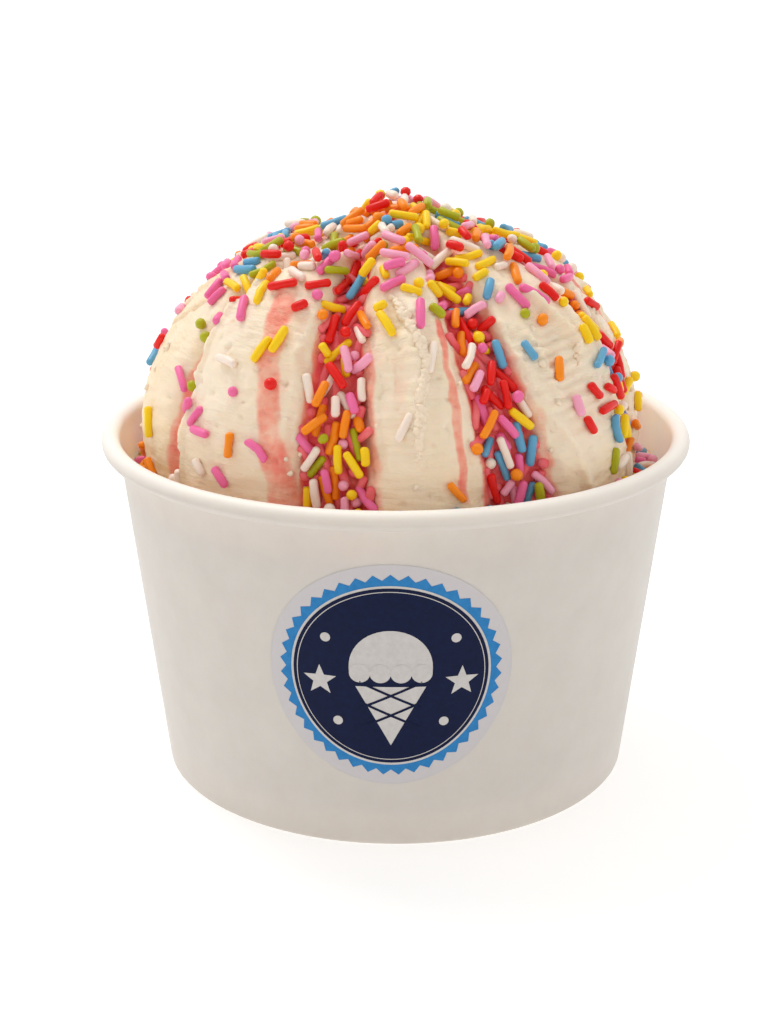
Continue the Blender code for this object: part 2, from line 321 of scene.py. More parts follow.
def ring_film(name, finish, inner, outer, layer, steps=96, teeth_depth=0.0, replaced=None):
    """A ring or disc of print; teeth_depth makes its edge zigzag."""
    mesh = bmesh.new()
    bmesh.ops.create_circle(mesh, cap_ends=False, segments=steps, radius=outer)
    rim, start = list(mesh.verts), list(mesh.edges)
    for share in np.linspace(outer, inner, max(2, int((outer - inner) / 2.5) + 1))[1:]:
        grown = bmesh.ops.extrude_edge_only(mesh, edges=start)["geom"]
        start = [part for part in grown if isinstance(part, bmesh.types.BMEdge)]
        for vert in [part for part in grown if isinstance(part, bmesh.types.BMVert)]:
            vert.co *= share / vert.co.length
    if inner <= CENTRE_RADIUS:
        bmesh.ops.contextual_create(mesh, geom=start)
    for vert in rim[1::2]:
        vert.co *= 1.0 - teeth_depth / outer
    for vert in mesh.verts:
        vert.co = on_wall(vert.co.x, LABEL_HEIGHT + vert.co.y, LABEL_FACE + layer * FILM)
    return piece(mesh, name, finish, replaced)


ring_film("label_sticker", sticker_paper, CENTRE_RADIUS, LABEL_RADIUS, 0, replaced="label")
ring_film("label_seal", sky_ink, SEAL_RADIUS - 3.0, SEAL_RADIUS, 1, 2 * SEAL_TEETH, TEETH_DEPTH)
ring_film("label_border", pale_ink, BORDER_RADIUS - 1.2, BORDER_RADIUS, 2)
ring_film("label_disc", navy_ink, CENTRE_RADIUS, DISC_RADIUS, 3)
ring_film("label_line", pale_ink, LINE_RADIUS - 0.15, LINE_RADIUS, 4)

# %% [markdown]
# ## Cone, scoop and stars
# The middle of the label has simple shapes only: a waffle cone drawn as a wedge with two
# crossing gaps, a scoop with a wavy lower edge made of discs, and a star on either side.

# %% Cone, scoop and stars
MOTIF_SCALE = 1.22


def flat_shape(mesh, corners):
    """One flat face from its corners."""
    return mesh.faces.new([mesh.verts.new((x, y, 0.0)) for x, y in corners])


def star_corners(x, y, radius, points=5):
    turns = [math.pi / 2 + math.pi * k / points for k in range(2 * points)]
    sizes = [radius if k % 2 == 0 else radius * 0.42 for k in range(2 * points)]
    return [(x + s * math.cos(t), y + s * math.sin(t)) for s, t in zip(sizes, turns)]


def disc_corners(x, y, radius, start=0.0, end=2 * math.pi, count=26):
    turns = np.linspace(start, end, count, endpoint=end - start < 6.2)
    return [(x + radius * math.cos(t), y + radius * math.sin(t)) for t in turns]


def printed(name, outlines, finish, layer):
    mesh = bmesh.new()
    for corners in outlines:
        flat_shape(mesh, [(x * MOTIF_SCALE, y * MOTIF_SCALE) for x, y in corners])
    for cut in np.arange(-16.0, 16.1, 2.0):
        for axis in ((1, 0, 0), (0, 1, 0)):
            geometry = list(mesh.verts) + list(mesh.edges) + list(mesh.faces)
            bmesh.ops.bisect_plane(mesh, geom=geometry, plane_co=Vector(axis) * cut, plane_no=axis)
    for vert in mesh.verts:
        vert.co = on_wall(vert.co.x, LABEL_HEIGHT + vert.co.y, LABEL_FACE + layer * FILM)
    return piece(mesh, name, finish)


CONE_TOP, CONE_TIP, CONE_HALF = 0.6, -11.5, 5.2
SCOOP_RADIUS = 6.1
cone = [[(-CONE_HALF, CONE_TOP - 2.2), (0.0, CONE_TIP), (CONE_HALF, CONE_TOP - 2.2)]]
dome = disc_corners(0.0, CONE_TOP + 1.0, SCOOP_RADIUS, 0.0, math.pi)
scoop = [dome + [(-SCOOP_RADIUS, CONE_TOP), (SCOOP_RADIUS, CONE_TOP)]]
drips = [disc_corners(x, CONE_TOP, 1.55) for x in (-4.55, -1.52, 1.52, 4.55)]
stars = [star_corners(side * 10.5, -1.0, 2.6) for side in (-1, 1)]
DOT_PLACES = ((9.4, 6.2), (8.0, -7.6))
dots = [disc_corners(side * x, y, 0.75, count=14) for side in (-1, 1) for x, y in DOT_PLACES]
printed("label_cone", cone, pale_ink, 4)
printed("label_scoop", scoop, pale_ink, 4)
printed("label_drips", drips, pale_ink, 5)
printed("label_stars", stars + dots, pale_ink, 4)


def waffle_gap(slope):
    """A thin navy line across the cone."""
    lines = []
    for offset in (-2.4, 0.9):
        ends = [(-4.6, offset - 4.0 - slope * 2.2), (4.6, offset - 4.0 + slope * 2.2)]
        (x0, y0), (x1, y1) = ends
        lines.append([(x0, y0 - 0.22), (x1, y1 - 0.22), (x1, y1 + 0.22), (x0, y0 + 0.22)])
    return lines


printed("label_waffle", waffle_gap(1.0) + waffle_gap(-1.0), navy_ink, 5)

# %% [markdown]
# ## The shape of the mound
# The scoop left a dome pressed into petals, with valleys between them that run down from
# the crown. The surface is a rule of two angles: how far down from the top, and how far
# round from the front. It is the same rule as in the solid model, so the sprinkles that are
# fused there lie in the same places here. Past the foot of the mound the surface runs out
# over a ledge of softer ice cream to the wall of the cup.

# %% Mound surface
MOUND_CENTRE = 66.0
MOUND_RADIUS = 49.6
MOUND_RISE = 45.9
VALLEY_DEPTH = 4.6
FOOT_POLAR = 96.0
LEDGE_SPAN = 14.0
LEDGE_HEIGHT = 59.2
LEAN_POLAR = 65.0
CURL_POLAR = 50.0
CROWN_START, CROWN_FADE = 9.0, 26.0
PEAK_POLAR = 14.0
DROP_START, DROP_FADE = 19.0, 26.0
DROP_MEAN, DROP_SWING = 3.5, 2.7
LOW_SIDE = -160.0

Petal = namedtuple("Petal", "left right lean soft_left soft_right crest arch curl")
PETALS = (
    Petal(-104, -52, 0.00, 7, 4, 4.2, 1.9, 0.000),
    Petal(-56, -19.5, 0.00, 2, 6, 4.8, 1.2, 0.065),
    Petal(-11, 20, 0.10, 7, 6, 4.3, 1.2, 0.000),
    Petal(29, 67, 0.12, 6, 8, 4.4, 0.9, 0.000),
    Petal(71, 116, 0.00, 5, 8, 2.9, 0.8, 0.000),
    Petal(124, 163, -0.05, 6, 3, 4.4, 1.2, 0.000),
    Petal(160, 207, 0.00, 8, 7, 3.9, 1.2, 0.000),
    Petal(215, 254, 0.06, 5, 6, 4.5, 1.2, 0.000),
)


def smooth_step(share):
    share = np.clip(share, 0.0, 1.0)
    return share * share * (3.0 - 2.0 * share)


def petal_edges(petal, polar, azimuth):
    """Left and right edge of a petal at a height, and the azimuth counted near it."""
    lean = petal.lean * (polar - LEAN_POLAR)
    curl = petal.curl * np.maximum(CURL_POLAR - polar, 0.0) ** 2
    middle = (petal.left + petal.right) / 2
    around = (azimuth - middle + 180.0) % 360.0 - 180.0 + middle
    return petal.left + lean + curl, petal.right + lean, around


def petal_relief(polar, azimuth):
    """Height of the petals above the valley floor between them."""
    height = np.zeros(np.broadcast(polar, azimuth).shape)
    for petal in PETALS:
        left, right, around = petal_edges(petal, polar, azimuth)
        rise = smooth_step((around - left) / petal.soft_left)
        fall = smooth_step((right - around) / petal.soft_right)
        along = np.clip((around - left) / np.maximum(right - left, 4.0), 0.0, 1.0)
        crest = petal.crest - petal.arch * (2.0 * along - 1.0) ** 2
        height = np.maximum(height, rise * fall * crest)
    return height


def mound_radius(polar, azimuth):
    """Distance of the surface from the mound's centre in a given direction."""
    down, around = np.radians(polar), np.radians(azimuth)
    plain = 1.0 / np.hypot(np.sin(down) / MOUND_RADIUS, np.cos(down) / MOUND_RISE)
    out_of_crown = smooth_step((polar - CROWN_START) / CROWN_FADE)
    petals = (petal_relief(polar, azimuth) - VALLEY_DEPTH) * out_of_crown
    uneven = 0.7 * np.sin(3 * around + 0.06 * polar + 1.0) * np.sin(down)
    uneven = uneven + 0.5 * np.sin(7 * around - 0.11 * polar) * np.sin(down) ** 2
    drop = DROP_MEAN + DROP_SWING * np.cos(around - math.radians(LOW_SIDE))
    drop = drop * smooth_step(polar / PEAK_POLAR) * (1.0 - smooth_step((polar - DROP_START) / DROP_FADE))
    return plain + petals + uneven - drop


def cream_point(down, azimuth, extra=0.0):
    """Surface point: down to FOOT_POLAR on the mound, past it on the ledge inside the cup."""
    polar = np.minimum(down, FOOT_POLAR)
    reach = mound_radius(polar, azimuth) + extra
    polar, turn = np.radians(polar), np.radians(azimuth)
    radius = reach * np.sin(polar)
    height = MOUND_CENTRE + reach * np.cos(polar)
    out = np.clip((down - FOOT_POLAR) / LEDGE_SPAN, 0.0, 1.0)
    radius = radius + out * (inner_radius(LEDGE_HEIGHT) - FIT_GAP - radius)
    height = height + (1.0 - (1.0 - out) ** 2) * (LEDGE_HEIGHT - height)
    return np.stack([radius * np.sin(turn), -radius * np.cos(turn), height], axis=-1)


print("mound top", round(float(cream_point(0.0, 0.0)[2]), 1), "mm")

# %% [markdown]
# ## What the scoop and the cold left on the surface
# A scoop drags the surface: there are fine steps across its path, a thin raised lip where a
# petal ends sharply, ragged ridges where two passes met, and a crease where a fold closed.
# These lines are placed by their ends on the mound, and their height is worked out from the
# distance to the line, so each is a few lines of rule and not a drawing.

# %% Drag marks, lips, folds and creases
Mark = namedtuple("Mark", "top_down top_turn low_down low_turn width height rough")
MARKS = (
    Mark(43, 5.0, 84, 4.6, 1.90, 1.30, 0.50),
    Mark(45, 43.4, 61, 51.0, 0.95, 1.90, 0.15),
    Mark(47, 30.5, 80, 34.0, 0.80, 1.10, 0.70),
    Mark(54, 37.5, 70, 38.5, 0.70, 0.70, 0.80),
    Mark(74, 36.0, 90, 44.0, 1.10, 1.00, 0.90),
    Mark(49, -69.0, 66, -88.0, 0.60, -1.10, 0.10),
    Mark(36, -70.0, 60, -93.0, 0.80, 0.90, 0.20),
    Mark(62, -3.5, 86, -3.0, 0.90, -0.70, 0.60),
    Mark(57, 15.0, 88, 16.0, 0.70, -0.50, 0.50),
    Mark(56, -25.0, 88, -21.5, 0.60, 0.50, 0.60),
    Mark(56, 60.0, 72, 66.0, 1.30, 0.90, 0.80),
    Mark(48, 92.0, 86, 96.0, 0.90, 0.90, 0.70),
    Mark(50, 140.0, 80, 146.0, 0.80, 1.00, 0.60),
    Mark(46, 186.0, 70, 178.0, 0.80, 1.30, 0.30),
    Mark(50, 232.0, 84, 236.0, 0.90, 1.00, 0.70),
)
ARC_PER_DEGREE = 0.84
LIP_HEIGHT, LIP_GROOVE = 0.9, 2.0


def field(points, size, seed):
    """Smooth random field over an array of points in millimetres, about -1 to 1."""
    shift = Vector((seed * 7.1, seed * 3.3, -seed * 5.7))
    return np.array([noise.noise(Vector(p) / size + shift) for p in points])


def mark_height(down, azimuth, ragged, wander):
    """Raised and sunk lines of the MARKS; ragged breaks them and wander bends them."""
    total = np.zeros_like(down)
    for mark in MARKS:
        share = np.clip((down - mark.top_down) / (mark.low_down - mark.top_down), -0.2, 1.2)
        line = mark.top_turn + share * (mark.low_turn - mark.top_turn)
        aside = (azimuth - line + 180.0) % 360.0 - 180.0
        aside = aside * ARC_PER_DEGREE * np.sin(np.radians(down))
        aside = aside + mark.rough * (0.8 * ragged + 1.6 * wander)
        ends = smooth_step((share + 0.05) / 0.15) * smooth_step((1.05 - share) / 0.15)
        profile = np.exp(-(aside / mark.width) ** 2) * (1.0 + mark.rough * 0.8 * ragged)
        total = total + mark.height * ends * profile
    return total


def lip_height(down, azimuth):
    """Thin raised lip along each sharp edge of a petal."""
    total = np.zeros_like(down)
    for petal in PETALS:
        left, right, around = petal_edges(petal, down, azimuth)
        arc = ARC_PER_DEGREE * np.sin(np.radians(down))
        for soft, inside in ((petal.soft_left, around - left), (petal.soft_right, right - around)):
            if soft <= 3:
                total += LIP_HEIGHT * np.exp(-((inside - soft) * arc / 0.6) ** 2)
                groove = LIP_GROOVE if petal.curl else 0.3 * LIP_GROOVE
                sunk = np.exp(-((inside + 1.5) * arc / 2.2) ** 2) * smooth_step((soft - inside) / 2.0)
                total -= groove * sunk
    return total * smooth_step((down - 30.0) / 14.0)


# %% [markdown]
# ## Where the sauce ran
# Strawberry sauce was poured on the crown and ran down the valleys, with a few streams over
# the petals. It soaks into the ice cream: a salmon stain at its edges, a wet crimson where
# it lies deep. A stream is a line down the mound with a width that changes on its way.

# %% Sauce streams and stain
Stream = namedtuple("Stream", "top_down top_turn low_down low_turn top_width low_width strength")
STREAMS = (
    Stream(46, -34.6, 94, -23.6, 2.5, 3.3, 0.44),
    Stream(49, -27.5, 80, -24.0, 2.6, 1.8, 0.22),
    Stream(50, -20.5, 92, -18.0, 1.6, 2.6, 0.50),
    Stream(50, -9.0, 92, -6.5, 1.6, 4.6, 0.36),
    Stream(57, 0.5, 72, 1.0, 1.6, 1.4, 0.20),
    Stream(50, 12.0, 86, 14.0, 0.7, 1.0, 0.50),
    Stream(44, 17.6, 96, 22.0, 2.0, 2.8, 0.56),
    Stream(44, 28.0, 92, 35.0, 1.0, 1.6, 0.34),
    Stream(40, 55.0, 49, 58.0, 1.8, 1.0, 0.36),
    Stream(54, -57.5, 94, -58.5, 1.3, 2.4, 0.46),
    Stream(44, 84.0, 90, 88.0, 1.6, 3.2, 0.50),
    Stream(46, 133.0, 88, 131.0, 1.4, 2.8, 0.50),
    Stream(44, 172.0, 92, 176.0, 1.2, 2.6, 0.48),
    Stream(46, 198.0, 84, 203.0, 1.6, 2.2, 0.45),
    Stream(46, 226.0, 92, 223.0, 1.4, 3.0, 0.50),
    Stream(50, -92.0, 92, -95.0, 1.2, 2.6, 0.46),
)


def valley_share(down, azimuth):
    """1 on the floor of a valley between petals, 0 on the petals."""
    return 1.0 - smooth_step((petal_relief(np.minimum(down, FOOT_POLAR), azimuth) - 0.4) / 1.8)


def sauce_stain(down, azimuth, wander, patches):
    """How much sauce is at a place, 0 for clean ice cream to 1 for pooled sauce."""
    arc = ARC_PER_DEGREE * np.sin(np.radians(np.minimum(down, FOOT_POLAR)))
    stain = np.zeros_like(down)
    for stream in STREAMS:
        share = np.clip((down - stream.top_down) / (stream.low_down - stream.top_down), -0.3, 1.3)
        line = stream.top_turn + share * (stream.low_turn - stream.top_turn)
        half = stream.top_width + np.clip(share, 0, 1) * (stream.low_width - stream.top_width)
        aside = np.abs(((azimuth - line + 180.0) % 360.0 - 180.0) * arc + 0.9 * wander)
        body = 1.0 - smooth_step((aside - half * 0.55) / (half * 0.6 + 0.3))
        ends = smooth_step((share + 0.12) / 0.14) * smooth_step((1.14 - share) / 0.12)
        stain = np.maximum(stain, stream.strength * body * ends * (1.0 + 0.45 * patches))
    valley = valley_share(down, azimuth) * smooth_step((down - 16.0) / 14.0) * (0.74 + 0.3 * patches)
    crown = (1.0 - smooth_step((down - 24.0) / 20.0)) * (0.16 + 0.5 * patches)
    ledge = (down > FOOT_POLAR) * (0.25 + 0.35 * patches)
    return np.clip(np.maximum.reduce([stain, valley, crown, ledge]), 0.0, 1.0)


# %% [markdown]
# ## The ice cream mesh
# A disc is spun whose radius counts degrees down the surface. Each of its points is then set
# to its place on the mound, with the marks and two scales of roughness added. The points are
# closer together round the front than at the back. The drag fades out where the turn starts
# again at the back, so that no crack shows there. The stain and the direction of drag are
# stored on the points for the finish to read.

# %% Ice cream mesh
MOUND_STEPS = 450
MOUND_RINGS = 200
FRONT_CROWDING = 0.45
LEDGE_RINGS = 10
SWELL, ROUGHNESS, GRAIN, DRAG_STEP = 0.35, 0.22, 0.12, 0.22
SLACK_DROP = 1.1
STRAY_LIMIT = 1.1
RIPPLE_HEIGHT, RIPPLE_TURN, RIPPLE_DOWN = 0.36, 43.0, 64.0
PIT_DEPTH = 1.1


def spun_ice_cream():
    mound = [FOOT_POLAR * ring / MOUND_RINGS for ring in range(MOUND_RINGS + 1)]
    ledge = [FOOT_POLAR + LEDGE_SPAN * ring / LEDGE_RINGS for ring in range(1, LEDGE_RINGS + 1)]
    downs = mound + ledge
    side, middle = downs[-1] + 10.0, downs[-1] + 20.0
    mesh = turned([(down, 0.0) for down in downs + [side, middle]], MOUND_STEPS)
    bmesh.ops.recalc_face_normals(mesh, faces=mesh.faces)
    data = bpy.data.meshes.new("ice_cream_mound")
    mesh.to_mesh(data)
    mesh.free()
    flat = np.zeros(len(data.vertices) * 3, np.float32)
    data.vertices.foreach_get("co", flat)
    flat = flat.reshape(-1, 3) / MM
    down = np.hypot(flat[:, 0], flat[:, 1]).astype(float)
    turn = np.arctan2(flat[:, 0], -flat[:, 1])
    turn = turn - FRONT_CROWDING * np.sin(turn)
    return data, down, np.degrees(turn), side, middle


mound_data, down, turn, side_mark, middle_mark = spun_ice_cream()
base = cream_point(np.minimum(down, FOOT_POLAR + LEDGE_SPAN), turn)
broad = field(base, 9.0, 1)
rough = field(base, 3.2, 2)
fine = field(base, 1.5, 3)
arc = ARC_PER_DEGREE * np.sin(np.radians(np.minimum(down, 90.0)))
drag_place = np.stack([turn * arc / 7.0, down * ARC_PER_DEGREE / 1.15, np.zeros_like(down)], axis=1)
joined = smooth_step((180.0 - np.abs(turn)) / 8.0)
drag = field(drag_place, 1.0, 4) * joined
ragged = field(base, 1.9, 5)
on_petal = 1.0 - valley_share(down, turn)
flank = smooth_step((down - 34.0) / 14.0)
strayed = petal_relief(down, turn + 1.7 * broad + 0.8 * rough) - petal_relief(down, turn)
detail = SWELL * broad + ROUGHNESS * rough + GRAIN * fine + DRAG_STEP * drag * on_petal * flank
detail += np.clip(strayed, -STRAY_LIMIT, STRAY_LIMIT) * flank
slack = (1.0 - smooth_step((turn + 6.0) / 10.0)) * smooth_step((turn + 14.0) / 5.0)
detail -= SLACK_DROP * slack * flank
ripples = np.exp(-((turn - RIPPLE_TURN) / 8.0) ** 2) * np.exp(-((down - RIPPLE_DOWN) / 11.0) ** 2)
detail += RIPPLE_HEIGHT * ripples * np.sin(down * 2.6 + 1.6 * rough + 0.12 * turn)
detail += (1.0 - on_petal) * (0.45 * field(base, 2.1, 9) + 0.25 * fine)
detail += (mark_height(down, turn, ragged, broad) + lip_height(down, turn)) * (down < FOOT_POLAR + 1)
pits = np.clip(field(base, 1.3, 6) - 0.32, 0.0, 1.0)
detail -= PIT_DEPTH * pits * flank
detail *= smooth_step(down / 8.0) * 0.7 + 0.3
points = cream_point(np.minimum(down, FOOT_POLAR + LEDGE_SPAN), turn, detail)
points[:, 2] += np.where(down > FOOT_POLAR, 0.5 * rough, 0.0) * (down < FOOT_POLAR + LEDGE_SPAN - 1)
cup_floor = FOLD_HEIGHT + 0.5 + 2 * FIT_GAP
in_cup = down > side_mark - 1.0
reach = np.where(down < middle_mark - 1.0, inner_radius(cup_floor) - FIT_GAP, 0.0)
spread = np.radians(turn)
deep = np.stack([reach * np.sin(spread), -reach * np.cos(spread), np.full_like(down, cup_floor)], axis=1)
points = np.where(in_cup[:, None], deep, points)
wall_limit = inner_radius(points[:, 2]) - 0.05
too_wide = np.hypot(points[:, 0], points[:, 1]) / wall_limit
low_part = points[:, 2] < CUP_HEIGHT
squeeze = np.where(low_part & (too_wide > 1.0), 1.0 / too_wide, 1.0)
points[:, :2] *= squeeze[:, None]
mound_data.vertices.foreach_set("co", (points * MM).astype(np.float32).ravel())
stain = sauce_stain(down, turn, field(base, 4.0, 7), field(base, 5.0, 8))
# Painted warm shade: the cream is warmer and darker low down on the mound and on the left petal, with a
# random tone mixed in.
warm_shade_and_tone = 0.3 * smooth_step((down - 72.0) / 22.0) + 0.45 * np.exp(-((turn + 80.0) / 17.0) ** 2) + 0.25 * broad
for label, values in (("stain", stain), ("petal", on_petal * flank * joined), ("warm_shade_and_tone", np.clip(warm_shade_and_tone, 0, 1))):
    layer = mound_data.attributes.new(label, "FLOAT", "POINT")
    layer.data.foreach_set("value", values.astype(np.float32))
flow = mound_data.attributes.new("flow", "FLOAT_VECTOR", "POINT")
flow.data.foreach_set("vector", (drag_place * [7.0, 1.15, 1.0]).astype(np.float32).ravel())
print("stained share", round(float(stain.mean()), 2))

# %% [markdown]
# ## Vanilla ice cream
# Ice cream is frozen foam: light goes in, scatters among fat and air, and comes out warm and
# soft, so the shader scatters several millimetres under the surface, red furthest. The
# surface is matt with a damp sheen. Fine pores and drag wrinkles a few tenths of a
# millimetre deep are too small for the mesh and are left to the bump, which follows the
# direction stored on the points and comes in patches. Sauce turns the ice cream salmon, then
# crimson, and makes it glossy. Small torn crumbs take the same finish without the scattering,
# which would take the warmth out of pieces that are thinner than the light's way through them.

# %% Vanilla and sauce finish
def vanilla_finish(name, glow):
    finish, tree, shader, place = new_finish(name)
    stain_value = add(tree, "ShaderNodeAttribute", {"attribute_name": "stain"}).outputs["Fac"]
    petal_value = add(tree, "ShaderNodeAttribute", {"attribute_name": "petal"}).outputs["Fac"]
    flow_place = add(tree, "ShaderNodeAttribute", {"attribute_name": "flow"}).outputs["Vector"]
    cloud = add(tree, "ShaderNodeTexNoise", Vector=place, Scale=160.0, Detail=3.0)
    cream = add(tree, "ShaderNodeMix", {"data_type": "RGBA"}, Factor=cloud.outputs["Fac"],
                i6=linear("F5E3CA"), i7=linear("FBEDD9"))
    # The cream is mixed towards a warm tan by the stored painted warm shade.
    warm_shade_value = add(tree, "ShaderNodeAttribute", {"attribute_name": "warm_shade_and_tone"}).outputs["Fac"]
    cream = add(tree, "ShaderNodeMix", {"data_type": "RGBA"}, Factor=warm_shade_value,
                i6=cream.outputs[2], i7=linear("FFDDB0"))
    speck = add(tree, "ShaderNodeTexNoise", Vector=place, Scale=700.0, Detail=2.0)
    blur = add(tree, "ShaderNodeMath", {"operation": "MULTIPLY_ADD"}, i0=speck.outputs["Fac"],
               i1=0.3, i2=-0.15)
    wet = add(tree, "ShaderNodeMath", {"operation": "ADD"}, i0=stain_value, i1=blur.outputs[0])
    ramp = add(tree, "ShaderNodeValToRGB", Fac=wet.outputs[0])
    stops = ramp.color_ramp.elements
    stops[0].position, stops[0].color = 0.12, linear("F8EAD2")
    stops[1].position, stops[1].color = 1.0, linear("E22C46")
    for position, colour in ((0.3, "F9CCB4"), (0.5, "F89C88"), (0.72, "F26468")):
        stop = stops.new(position)
        stop.color = linear(colour)
    share = add(tree, "ShaderNodeMapRange", {"interpolation_type": "SMOOTHSTEP"}, Value=stain_value,
                From_Min=0.1, From_Max=0.35)
    colour = add(tree, "ShaderNodeMix", {"data_type": "RGBA"}, Factor=share.outputs[0],
                 i6=cream.outputs[2], i7=ramp.outputs["Color"])
    tree.links.new(colour.outputs[2], shader.inputs["Base Color"])
    rough_value = add(tree, "ShaderNodeMapRange", Value=stain_value, From_Min=0.35, From_Max=0.9,
                      To_Min=0.5, To_Max=0.22)
    tree.links.new(rough_value.outputs[0], shader.inputs["Roughness"])
    wrinkle = add(tree, "ShaderNodeMapping", Vector=flow_place, Scale=(0.3, 1.0, 1.0))
    lines = add(tree, "ShaderNodeTexNoise", Vector=wrinkle.outputs[0], Scale=0.55, Detail=4.0,
                Roughness=0.62)
    patch = add(tree, "ShaderNodeTexNoise", Vector=place, Scale=75.0, Detail=1.0)
    patch_on = add(tree, "ShaderNodeMapRange", Value=patch.outputs["Fac"], From_Min=0.3, From_Max=0.52)
    where = add(tree, "ShaderNodeMath", {"operation": "MULTIPLY"}, i0=patch_on.outputs[0],
                i1=petal_value)
    lines_on = add(tree, "ShaderNodeMath", {"operation": "MULTIPLY"}, i0=lines.outputs["Fac"],
                   i1=where.outputs[0])
    pores = add(tree, "ShaderNodeTexNoise", Vector=place, Scale=1500.0, Detail=3.0, Roughness=0.6)
    bump_lines = add(tree, "ShaderNodeBump", Strength=0.95, Distance=0.75 * MM,
                     Height=lines_on.outputs[0])
    bump_pores = add(tree, "ShaderNodeBump", Strength=0.35, Distance=0.22 * MM,
                     Height=pores.outputs["Fac"], Normal=bump_lines.outputs["Normal"])
    tree.links.new(bump_pores.outputs["Normal"], shader.inputs["Normal"])
    dial(shader, Subsurface_Weight=glow, Subsurface_Radius=(1.0, 0.62, 0.34),
         Subsurface_Scale=1.4 * MM, IOR=1.36)
    return finish


vanilla = vanilla_finish("vanilla_ice_cream", 0.35)
piece_of(mound_data, "ice_cream_mound", vanilla, "ice_cream")
nearest = KDTree(len(points))
for index, point in enumerate(points):
    nearest.insert(point, index)
nearest.balance()


def surface_lift(place):
    """How far the mound's detail stands out near a place, in millimetres."""
    return float(detail[nearest.find(place)[1]])

# %% [markdown]
# ## Torn crumbs of ice cream
# Where the scoop tore the surface, small torn lumps stand along the ridges and the rims of
# the valleys, and two soft strands were drawn out along the ridges. A lump is a low ball
# pulled out of shape and half sunk in the mound, a strand is a row of balls that run into
# each other, and all of them are joined into one mesh.

# %% Torn crumbs
random = np.random.default_rng(11)


def crumb_places():
    """Places along the rough marks and the petal edges, as down, turn and roughness."""
    places = []
    for mark in MARKS:
        if mark.height > 0 and mark.rough > 0.3:
            for share in np.linspace(0, 1, 12 + int(16 * mark.rough)):
                places.append((mark.top_down + share * (mark.low_down - mark.top_down),
                               mark.top_turn + share * (mark.low_turn - mark.top_turn), mark.rough))
    for step in np.linspace(64, 90, 22):
        places.append((step, -77.0 + random.normal(0, 2.5), 0.7))
        places.append((step - 12, 76.0 + random.normal(0, 4.0), 0.7))
    for petal in PETALS:
        for edge, soft in ((petal.left, petal.soft_left), (petal.right, -petal.soft_right)):
            for step in np.linspace(44, 92, 8):
                lean = petal.lean * (step - LEAN_POLAR)
                places.append((step, edge + soft * 0.8 + lean, 0.3))
    return places


STRANDS = (
    (0.95, (43, 45.5, 50.5, 54.5, 58.5, 62.5, 67, 72, 79), (-1.5, 1.0, 3.6, 6.2, 7.2, 6.2, 5.5, 5.0, 4.4)),
    (0.6, (46, 50.5, 53.5, 57, 60, 64), (46.0, 47.5, 49.0, 49.7, 49.5, 48.0)),
)


def add_strands(mesh):
    """Soft strands along two ridges, as rows of balls that run into each other."""
    for radius, falls, arounds in STRANDS:
        span = (falls[-1] - falls[0]) * ARC_PER_DEGREE
        for fall in np.linspace(falls[0], falls[-1], int(span / (0.45 * radius))):
            end = min(fall - falls[0], falls[-1] - fall)
            lump = 0.95 + 0.3 * noise.noise(Vector((0.45 * fall, 0, 0)))
            size = radius * lump * (0.45 + 0.55 * min(1.0, end / 4.0))
            around = np.interp(fall, falls, arounds) + random.normal(0, 0.25)
            spot = cream_point(np.float64(fall), np.float64(around))
            lift = surface_lift(spot) + 0.25 * size
            spot = cream_point(np.float64(fall), np.float64(around), lift)
            place = Matrix.Translation(Vector(spot) * MM)
            bmesh.ops.create_icosphere(mesh, subdivisions=3, radius=size * MM, matrix=place)


def crumb_mesh():
    mesh = bmesh.new()
    add_strands(mesh)
    for fall, around, rate in crumb_places():
        if random.random() > 0.42 * rate:
            continue
        fall, around = fall + random.normal(0, 0.9), around + random.normal(0, 0.9)
        size = random.uniform(0.25, 0.5) * (1.0 + 0.5 * rate)
        low = cream_point(np.float64(fall), np.float64(around), -0.2 * size)
        turn_by = Matrix.Rotation(random.uniform(0, 6.28), 4, Vector(random.normal(0, 1, 3)))
        stretch = Matrix.Diagonal((*random.uniform(0.55, 1.6, 3), 1.0))
        place = Matrix.Translation(Vector(low) * MM) @ turn_by @ stretch
        bmesh.ops.create_icosphere(mesh, subdivisions=2, radius=size * MM, matrix=place)
    for vert in mesh.verts:
        spot = vert.co / MM
        push = [noise.noise(spot / 0.55 + Vector((9 * k, 0, 0))) for k in range(3)]
        vert.co += Vector(push) * 0.34 * MM
    return mesh


piece(crumb_mesh(), "ice_cream_crumbs", vanilla_finish("torn_ice_cream", 0.0))

# %% [markdown]
# ## Scattering the sprinkles
# Sprinkles are thrown on from above: they cover the crown, slide into the valleys and lie
# along them, and only a few stay on the bare petals. The longest are laid first by the same
# rule and the same seed as in the solid model. Shorter ones fill what is left, and one that
# finds its place taken lies a little higher, on top of those already there. Where the finished
# surface stands out further than the rule, a sprinkle is moved out with it.

# %% Sprinkle scatter
SEED = 31
CANDIDATES = 5200
FUSED_SPRINKLES = 165
FUSED_SPACING = 1.1
BALL_SHARE = 0.2
ROD_LENGTHS = (2.8, 5.0, 6.4)
ROD_RADII = (0.76, 0.88)
BALL_RADII = (0.94, 1.12)
SUNK_SHARE = 0.4
LEDGE_SHARE = 0.12
BARE_DENSITY = 0.05
SHOULDER_DENSITY = 0.28
LEDGE_DENSITY = 0.55
DOWNHILL_SPREAD = 0.55
LATER_CANDIDATES, LATER_SPRINKLES = 16000, 1500
LATER_BALL_SHARE, LATER_LENGTHS = 0.3, (2.2, 4.4, 6.2)
LATER_SPACING, LATER_LIFTS = -0.05, (0.0, 0.65, 1.3)
DROWNED_SPRINKLES, DROWNED_SPACING, DROWNED_SHARE = 900, -0.35, 0.55


